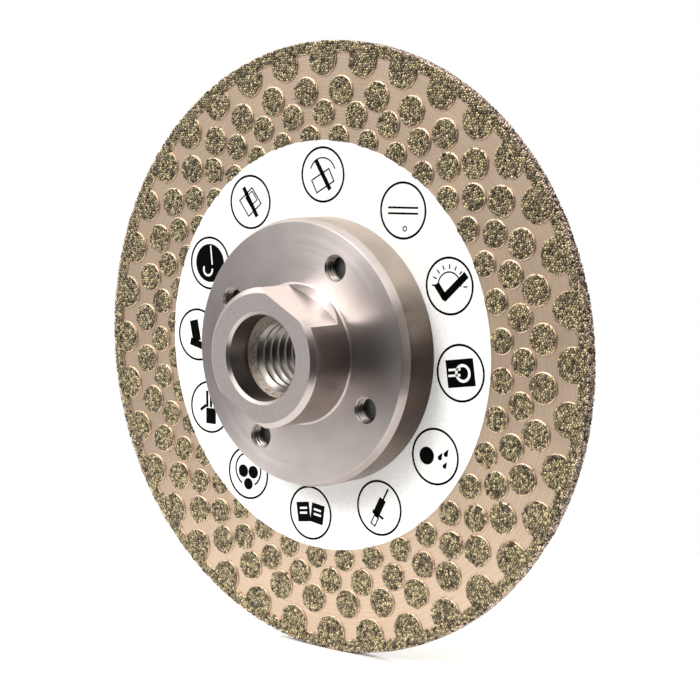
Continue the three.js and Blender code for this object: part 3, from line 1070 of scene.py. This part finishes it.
def marks():
    """The twelve marks, each an angle on the label, its ink shapes and the paper shapes on them, in
    shares of the mark's radius. They are bars, arcs, discs and drops, without lettering. Some look
    like common signs: the one at -95 degrees is like an open book, and the one at 23.3 degrees like
    a check mark."""
    bar, dot, arc = bar_outline, round_outline, arc_band
    slash = bar(1.25, 0.17, -58)
    uprights = [bar(0.62, 0.12, 90, (-0.14 + 0.19 * i, 0.3)) for i in range(3)]
    gaps = [(side, height) for side in (-1, 1) for height in (0.14, -0.04)]
    return [
        (123.6, [*framed(0.78, 0.72, 0.05, 38), *framed(0.4, 0.4, 0.04, 38, (0.05, 0.12)),
                 slash], []),
        (89.3, [*framed(0.9, 0.5, 0.05, 28, (0, -0.22)), arc(0.62, 0.05, 20, 140), slash], []),
        (53.4, [bar(1.3, 0.07, 0, (0, 0.1)), bar(1.3, 0.07, 0, (0, -0.1)),
                arc(0.1, 0.04, 0, 359, (0.08, -0.62))], []),
        (23.3, [*ticks(0.66, 9, 0, 180, 0.16, 0.05), arc(0.5, 0.05, 0, 180),
                bar(0.62, 0.24, -52, (-0.36, -0.2)), bar(1.3, 0.26, 42, (0.22, -0.02))], []),
        (-4.6, [bar(1.15, 0.95, 8)],
         [arc(0.32, 0.1, 0, 359, (0.1, 0)), bar(0.5, 0.08, 8, (-0.25, 0.1)),
          bar(0.5, 0.08, 8, (-0.25, -0.1))]),
        (-34.2, [dot(0.31, (-0.36, 0)), drop((0.2, -0.02), 0.09, -30),
                 drop((0.45, 0.12), 0.09, -30), drop((0.4, -0.3), 0.08, -30)], []),
        (-64.5, [bar(0.7, 0.3, 62, (0, 0.02)), bar(0.5, 0.07, 62, (0.28, 0.5)),
                 bar(0.55, 0.09, -28, (-0.05, -0.25)),
                 *framed(0.34, 0.2, 0.05, 62, (-0.2, -0.48))], []),
        (-95.0, [bar(0.6, 0.72, -8 * side, (0.33 * side, 0)) for side in (-1, 1)],
         [bar(0.34, 0.08, -8 * side, (0.33 * side, height)) for side, height in gaps]),
        (-125.7, [arc(0.66, 0.07, -60, 300, (0, 0.12)), dot(0.24, (-0.25, 0.05)),
                  dot(0.24, (0.25, 0.05)), dot(0.22, (0, -0.42))], []),
        (-154.2, [bar(0.5, 0.6, 0, (0.05, -0.34)), *uprights,
                  bar(0.36, 0.12, 35, (-0.35, -0.05))], []),
        (179.5, [bar(0.42, 0.8, 12, (-0.12, 0.15)), bar(0.95, 0.28, -14, (0.08, -0.38))], []),
        (152.9, [dot(0.72)],
         [bar(0.72, 0.06, 96, (0.08, 0.3)), arc(0.26, 0.08, 150, 220, (-0.1, -0.25))]),
    ]


def print_mesh(name, outlines, low, high):
    """Thin flat prisms: each outline once at the low height and once at the high one, with sides
    between. Faces with the same number of corners go in together."""
    points, faces, start = [], {}, 0
    for outline in outlines:
        count = len(outline)
        for height in (low, high):
            points.append(np.stack([outline[:, 0], np.full(count, -height), outline[:, 1]], -1))
        loop = np.arange(count)
        following = (loop + 1) % count
        faces.setdefault(count, []).extend([start + loop, (start + count + loop)[::-1]])
        sides = faces_of(loop, loop + count, following + count, following) + start
        faces.setdefault(4, []).extend(list(sides[:, ::-1]))
        start += 2 * count
    sets = [np.array(group) for group in faces.values()]
    return new_mesh(name, np.concatenate(points), *sets)


# ---------------------------------------------------------------- hub and screws


def counterbore_floor(hub, reach):
    """The height of the counterbore's drilled floor at a distance from the axis: a drill's cone
    that starts at the counterbore's side."""
    fall = (hub.counterbore_radius - reach) / math.tan(DRILL_HALF_ANGLE)
    return HUB_FRONT - hub.counterbore_depth - fall


def hub_outline(hub):
    """The hub's half section: pilot, flange, boss, counterbore and a bore for the thread."""
    core = hub.thread_radius - THREAD_DEPTH * hub.thread_pitch - 0.5 * MM
    lead = hub.thread_radius + 0.2 * MM
    top = hub.flange_height
    corners = [
        (lead, HUB_BACK, 0.05 * MM),
        (hub.pilot_radius, HUB_BACK, 0.15 * MM),
        (hub.pilot_radius, 0, 0),
        (FLANGE_RADIUS, 0, 0.12 * MM),
        (FLANGE_RADIUS, top - hub.taper_height, 0.25 * MM),
        (FLANGE_RADIUS - hub.flange_taper, top, 0.12 * MM),
        (hub.boss_radius, top, 0.45 * MM),
        (hub.boss_radius, HUB_FRONT - hub.boss_chamfer_height, 0.3 * MM),
        (hub.boss_radius - hub.boss_chamfer, HUB_FRONT, 0.12 * MM),
        (hub.counterbore_radius + hub.counterbore_chamfer, HUB_FRONT, 0.04 * MM),
        (hub.counterbore_radius, HUB_FRONT - hub.counterbore_chamfer, 0.04 * MM),
        (hub.counterbore_radius, counterbore_floor(hub, hub.counterbore_radius), 0.12 * MM),
        (core, counterbore_floor(hub, core), 0),
        (core, HUB_BACK + lead - core, 0),
    ]
    return rounded(corners)


def flat_cutter(hub, turn):
    """A round cutter for a wrench flat: turned about the spin axis, then laid down so that its own
    axis points outwards at the flat's angle and its edge just clears the flange."""
    angle = hub.flat_angle + turn
    across = hub.boss_radius - hub.flat_depth
    end = 30 * MM
    outline = np.array([(0, across), (hub.flat_cutter, across), (hub.flat_cutter, end), (0, end)])
    mesh = turned("cutter", outline, 160)
    x, y, z = read(mesh.vertices, "co", 3).T
    outwards = -y
    centre = hub.flange_height + 0.1 * MM + hub.flat_cutter
    placed = np.stack(
        [
            outwards * math.cos(angle) - z * math.sin(angle),
            x - centre,
            outwards * math.sin(angle) + z * math.cos(angle),
        ],
        -1,
    )
    mesh.vertices.foreach_set("co", placed.ravel())
    mesh.update()
    return outward(mesh)


def mouth_cutter(hub, centre):
    """The small chamfer of a tapped hole."""
    wide = hub.screw_radius + 0.2 * MM
    narrow = hub.screw_radius - 0.3 * MM
    low = hub.flange_height - 0.3 * MM
    high = hub.flange_height + 0.2 * MM
    outline = [(0, low), (narrow, low), (wide, high), (0, high)]
    return turned("cutter", outline, SCREW_SEGMENTS, centre)


def paint_hub(hub, mesh):
    """Gives each face of the hub its finish, from the place and direction of its middle."""
    x, y, z = read(mesh.polygons, "center", 3).T
    across, along, up = read(mesh.polygons, "normal", 3).T
    reach = np.hypot(x, z)
    height = -y
    hair = 0.05 * MM
    sideways = np.abs(along) < 0.3
    cosine, sine = math.cos(hub.flat_angle), math.sin(hub.flat_angle)
    facing = np.abs(across * cosine + up * sine)
    on_flat = np.abs(x * cosine + z * sine)
    near_screw = np.zeros(len(x), bool)
    for place in screw_places():
        near_screw |= np.hypot(x - place[0], z - place[1]) < hub.screw_radius + 0.4 * MM
    in_bore = (reach < hub.counterbore_radius + hair) & (height < HUB_FRONT - 0.5 * MM)
    on_boss = (height > hub.flange_height) & (reach > hub.counterbore_radius + 1 * MM)
    on_cone = np.abs(height - counterbore_floor(hub, reach)) < hair
    index = np.full(len(x), TURNED, np.int32)
    index[sideways & (reach > FLANGE_RADIUS - 1 * MM)] = SIDE
    index[sideways & on_boss] = BARREL
    index[height > HUB_FRONT - 0.01 * MM] = END
    index[in_bore | (near_screw & (height < hub.flange_height - hair))] = BORE
    index[(facing > 0.999) & (on_flat > 10 * MM) & (reach < hub.boss_radius + 0.1 * MM)] = FLAT
    index[in_bore & (np.abs(along) > 0.3) & on_cone] = DRILLED
    mesh.polygons.foreach_set("material_index", index)


def screw_body(hub, centre):
    """A countersunk screw: head, cone, shank and a chamfered end."""
    shank = hub.screw_radius - 0.15 * MM
    head = SCREW_HEAD_RADIUS
    corners = [
        (0, SCREW_BACK, 0),
        (head - 0.1 * MM, SCREW_BACK, 0.05 * MM),
        (head, SCREW_BACK + 0.1 * MM, 0.05 * MM),
        (shank, SCREW_BACK + head - shank + 0.1 * MM, 0.2 * MM),
        (shank, SCREW_END - 0.5 * MM, 0.05 * MM),
        (shank - 0.5 * MM, SCREW_END, 0.05 * MM),
        (0, SCREW_END, 0),
    ]
    return turned("screw", rounded(corners, 4), SCREW_SEGMENTS, centre)


def socket_cutter(centre):
    """A hexagonal socket with a drilled end, 1.5 mm from its middle to each of its six flats."""
    corner = 1.5 * MM / math.cos(math.pi / 6)
    low = SCREW_BACK - 1 * MM
    depth = SCREW_BACK + 1.7 * MM
    outline = [(0, low), (corner, low), (corner, depth), (0, depth + 0.6 * MM)]
    return turned("cutter", outline, 6, centre)


# ---------------------------------------------------------------- operators


class WheelOperator:
    """What every operator here shares: it can be undone."""

    bl_options = {"REGISTER", "UNDO"}


class WHEEL_OT_disc(WheelOperator, bpy.types.Operator):
    """Make the steel disc and the nickel plate on both its faces"""

    bl_idname = "wheel.disc"
    bl_label = "Plated disc"

    def execute(self, context):
        disc = context.scene.wheel_disc
        steel = plain_finish("blank_steel", BLANK_STEEL, 1.0, 0.4)
        nickel = nickel_finish(disc.nickel)
        layers = [
            ("disc_core", STEEL_BACK, STEEL_FRONT, steel, "steel_blank", "steel_disc"),
            ("front_plate", STEEL_FRONT, PLATE_FRONT, nickel, "nickel_plating", "front_plating"),
            ("back_plate", PLATE_BACK, STEEL_BACK, nickel, "nickel_plating", "back_plating"),
        ]
        for layer in layers:
            plate_ring(*layer)
        return {"FINISHED"}


class WHEEL_OT_grit(WheelOperator, bpy.types.Operator):
    """Make the grit pads, the rim band and the diamond crystals on them"""

    bl_idname = "wheel.grit"
    bl_label = "Grit"

    def execute(self, context):
        disc = context.scene.wheel_disc
        nickel = nickel_finish(disc.nickel)
        # The bed under the crystals: the plate's nickel, darker, as painted shade.
        bed = shaded_bed_finish(disc.nickel)
        diamond = crystal_finish(disc.grit_dark, disc.grit_light)
        front = make_pads(disc, FRONT, "front_pads")
        # The label covers the inner pads, so its ring is cut out of them.
        covered = ring_plate(
            LABEL_CENTRE, 20 * MM, LABEL_RADIUS + 0.02 * MM, -1 * MM, 1 * MM, DISC_SEGMENTS
        )
        cut(front, joined("cutter", [covered]))
        for pads in (front, make_pads(disc, BACK, "back_pads")):
            dress(pads, [nickel, bed], smooth=50)
        make_rim_bed(disc, [nickel, bed])
        # Each piece's name, crystal places and side, and the seeds of its places and shapes.
        grit = [
            ("front_pad_grit", pad_grit, FRONT, 11, 21),
            ("back_pad_grit", pad_grit, BACK, 12, 22),
            ("front_rim_grit", rim_grit, FRONT, 13, 23),
            ("back_rim_grit", rim_grit, BACK, 14, 24),
        ]
        for name, places, side, place_seed, shape_seed in grit:
            centres = places(disc, side, place_seed)
            piece = crystals(name, centres, disc.crystal, shape_seed, trim_to_face(side))
            dress(piece, [diamond], smooth=0)
        edge = crystals("edge_grit", edge_grit(disc, 15), disc.crystal, 25, trim_to_edge)
        dress(edge, [edge_finish(disc.grit_coat)], smooth=0)
        return {"FINISHED"}


class WHEEL_OT_label(WheelOperator, bpy.types.Operator):
    """Make the label ring and its marks"""

    bl_idname = "wheel.label"
    bl_label = "Label"

    def execute(self, context):
        label = context.scene.wheel_label
        paper = plain_finish("label_paper", label.paper, 0.0, 0.55)
        ink = plain_finish("label_ink", label.ink, 0.0, 0.6)
        ink.node_tree.nodes["Principled BSDF"].inputs["Specular IOR Level"].default_value = 0.03
        hole = FLANGE_RADIUS + 0.02 * MM
        sheet = ring_plate(LABEL_CENTRE, hole, LABEL_RADIUS, 0, SHEET_TOP, DISC_SEGMENTS, (0, 0))
        piece = new_object("label_sheet", joined("label_sheet", [sheet]))
        dress(piece, [paper], ["label_ring"])
        black, white, circles = [], [], []
        radius = label.circle_radius
        for angle, ink_shapes, paper_shapes in marks():
            place = on_circle(label.circle_place, math.radians(angle), LABEL_CENTRE)
            black += [place + radius * shape for shape in ink_shapes]
            white += [place + radius * shape for shape in paper_shapes]
            circles.append(
                ring_plate(place, radius - label.line, radius, SHEET_TOP, INK_TOP, 72)
            )
        meshes = [
            (print_mesh("label_marks", black, SHEET_TOP, INK_TOP), ink),
            (print_mesh("label_gaps", white, INK_TOP, GAP_TOP), paper),
            (joined("label_circles", circles), ink),
        ]
        for mesh, finish in meshes:
            dress(new_object(mesh.name, mesh), [finish])
        return {"FINISHED"}


class WHEEL_OT_hub(WheelOperator, bpy.types.Operator):
    """Make the flanged hub with its thread, wrench flats and tapped holes"""

    bl_idname = "wheel.hub"
    bl_label = "Flanged hub"

    def execute(self, context):
        hub = context.scene.wheel_hub
        piece = new_object("hub_body", turned("hub_body", hub_outline(hub), 240))
        floor = counterbore_floor(hub, hub.counterbore_radius)
        spindle = (hub.thread_radius, hub.thread_pitch, hub.thread_phase)
        cut(piece, threaded_bar(*spindle, HUB_BACK, floor))
        for turn in (0, math.pi):
            cut(piece, flat_cutter(hub, turn))
        screw = (hub.screw_radius, hub.screw_pitch, 0)
        for centre in screw_places():
            cut(piece, threaded_bar(*screw, HUB_BACK, hub.flange_height, centre, 40))
            cut(piece, mouth_cutter(hub, centre))
            cut(piece, screw_head_cutter(centre))
        paint_hub(hub, piece.data)
        # One finish for each number from TURNED to BARREL, in that order.
        finishes = [
            steel_finish("turned_steel", hub.steel, 0.38, 0.8),
            # The flange's side: a brownish tint with painted shade about the middle and below.
            side_brown_and_shade_finish(hub.side, hub.brown_and_shade),
            granular_finish(hub.steel),
            steel_finish("bore_steel", hub.bore, 0.3, 0.2),
            flat_finish(hub.steel),
            drilled_finish(hub.drilled),
            # The boss's side: the turned steel, darker, as painted shade.
            steel_finish("boss_side_painted_shade", hub.shaded_barrel, 0.34, 0.6),
        ]
        dress(piece, finishes, ["flange_hub"], 28)
        flatten(piece.data, (math.cos(hub.flat_angle), 0, math.sin(hub.flat_angle)))
        return {"FINISHED"}


class WHEEL_OT_screws(WheelOperator, bpy.types.Operator):
    """Make the four countersunk screws"""

    bl_idname = "wheel.screws"
    bl_label = "Screws"

    def execute(self, context):
        hub = context.scene.wheel_hub
        steel = plain_finish("screw_steel", SCREW_STEEL, 1.0, 0.35, 3000, 0.02)
        for node, centre in zip(SCREW_NODES, screw_places()):
            name = "socket_" + node
            piece = new_object(name, screw_body(hub, centre))
            cut(piece, socket_cutter(centre))
            dress(piece, [steel], [node], 28)
        return {"FINISHED"}


class WHEEL_OT_stage(WheelOperator, bpy.types.Operator):
    """Make the floor, the light and the camera"""

    bl_idname = "wheel.stage"
    bl_label = "Stage"

    def execute(self, context):
        stage = context.scene.wheel_stage
        camera_data = bpy.data.cameras.new("camera")
        camera_data.lens = stage.lens
        camera_data.clip_start = 0.01
        camera_data.clip_end = 20
        camera = bpy.data.objects.new("camera", camera_data)
        camera.location = stage.camera_place
        camera.rotation_euler = stage.camera_turn
        context.scene.collection.objects.link(camera)
        context.scene.camera = camera
        make_floor(stage)
        make_light()
        return {"FINISHED"}


def make_floor(stage, corners=128):
    """A pale round table top under the wheel: a circle of x and y at the wheel's lowest z."""
    flat = round_outline(stage.floor_radius, (0, 0), corners)
    points = np.insert(flat, 2, CAD_BOX[0].z, axis=1)
    mesh = bpy.data.meshes.new("floor")
    mesh.from_pydata(points.tolist(), [], [tuple(range(corners))])
    floor = new_object("floor", mesh)
    mesh.materials.append(plain_finish("floor_white", stage.floor, 0.0, 0.8, 30, 0.01))


# The soft box, a square: its place, the length of its side and its power.
KEY_PLACE = (-0.22, -0.70, 0.53)
KEY_SIZE = 0.35
KEY_POWER = 4


def make_key():
    """A soft square light that faces the wheel's middle."""
    data = bpy.data.lights.new("key", "AREA")
    data.shape = "RECTANGLE"
    data.size = data.size_y = KEY_SIZE
    data.energy = KEY_POWER
    made = bpy.data.objects.new("key", data)
    made.location = KEY_PLACE
    made.rotation_euler = (-Vector(KEY_PLACE)).to_track_quat("-Z", "Y").to_euler()
    bpy.context.scene.collection.objects.link(made)


# Parts of the surround, each a direction, the cosines of the angles from it where the part ends and
# where it is full, its brightness and its tint. Elsewhere it has the least brightness.
SURROUND = [
    ((-1, -0.1, 0), 0.45, 0.98, 0.95, (1, 1, 1)),
    ((-0.1, -0.2, 0.97), 0.42, 0.62, 2.0, (1, 0.98, 0.95)),
    ((0, 1, 0.2), -0.1, 0.6, 0.4, (1, 1, 1)),
    ((0.9, 0.3, 0.35), 0.7, 0.95, 0.2, (1, 1, 1)),
]
SURROUND_LEAST = 0.05
BACKDROP = (1, 1, 1, 1)
# A Mix node's sockets for colours: the two that go in and the one that comes out.
MIX_FIRST, MIX_SECOND, MIX_RESULT = 6, 7, 2


def make_light():
    """A surround of soft bright parts that is dark behind the camera, and a soft box in front,
    above and to the left. The camera itself sees a white backdrop."""
    world = bpy.data.worlds.new("surround")
    bpy.context.scene.world = world
    world.use_nodes = True
    tree = world.node_tree
    link = tree.links.new
    direction = add_node(tree, "ShaderNodeTexCoord").outputs["Generated"]
    total = None
    for towards, ends, full, power, tint in SURROUND:
        dot = add_node(tree, "ShaderNodeVectorMath", operation="DOT_PRODUCT")
        dot.inputs[1].default_value = np.array(towards) / np.linalg.norm(towards)
        link(direction, dot.inputs[0])
        share = add_node(tree, "ShaderNodeMapRange", interpolation_type="SMOOTHSTEP")
        share.inputs["From Min"].default_value = ends
        share.inputs["From Max"].default_value = full
        link(dot.outputs["Value"], share.inputs["Value"])
        part = add_node(tree, "ShaderNodeVectorMath", operation="MULTIPLY_ADD")
        part.inputs[1].default_value = [power * value for value in tint]
        part.inputs[2].default_value = [SURROUND_LEAST] * 3
        link(share.outputs["Result"], part.inputs[0])
        if total is not None:
            link(total, part.inputs[2])
        total = part.outputs[0]
    seen = add_node(tree, "ShaderNodeMix", data_type="RGBA")
    link(add_node(tree, "ShaderNodeLightPath").outputs["Is Camera Ray"], seen.inputs[0])
    link(total, seen.inputs[MIX_FIRST])
    seen.inputs[MIX_SECOND].default_value = BACKDROP
    link(seen.outputs[MIX_RESULT], tree.nodes["Background"].inputs["Color"])
    make_key()
    bpy.context.scene.view_settings.view_transform = "Standard"


class WHEEL_PT_panel(bpy.types.Panel):
    """Lists the pieces and the sizes"""

    bl_label = "Diamond grinding wheel"
    bl_idname = "WHEEL_PT_panel"
    bl_space_type = "VIEW_3D"
    bl_region_type = "UI"
    bl_category = "Wheel"

    def draw(self, context):
        layout = self.layout
        for operator, settings in STEPS:
            layout.operator(operator.bl_idname)
            group = getattr(context.scene, settings)
            for key in group.__annotations__:
                layout.prop(group, key)


STEPS = [
    (WHEEL_OT_disc, "wheel_disc"),
    (WHEEL_OT_grit, "wheel_disc"),
    (WHEEL_OT_label, "wheel_label"),
    (WHEEL_OT_hub, "wheel_hub"),
    (WHEEL_OT_screws, "wheel_hub"),
    (WHEEL_OT_stage, "wheel_stage"),
]
SETTINGS = {
    "wheel_disc": WheelDiscSettings,
    "wheel_hub": WheelHubSettings,
    "wheel_label": WheelLabelSettings,
    "wheel_stage": WheelStageSettings,
}
CLASSES = [*SETTINGS.values(), *(operator for operator, _ in STEPS), WHEEL_PT_panel]


def register():
    for item in CLASSES:
        bpy.utils.register_class(item)
    for name, group in SETTINGS.items():
        setattr(bpy.types.Scene, name, bpy.props.PointerProperty(type=group))


def unregister():
    for name in SETTINGS:
        delattr(bpy.types.Scene, name)
    for item in reversed(CLASSES):
        bpy.utils.unregister_class(item)


def main():
    """Registers the add-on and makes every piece."""
    register()
    for operator, _ in STEPS:
        group, action = operator.bl_idname.split(".")
        getattr(getattr(bpy.ops, group), action)()


if __name__ == "__main__":
    main()
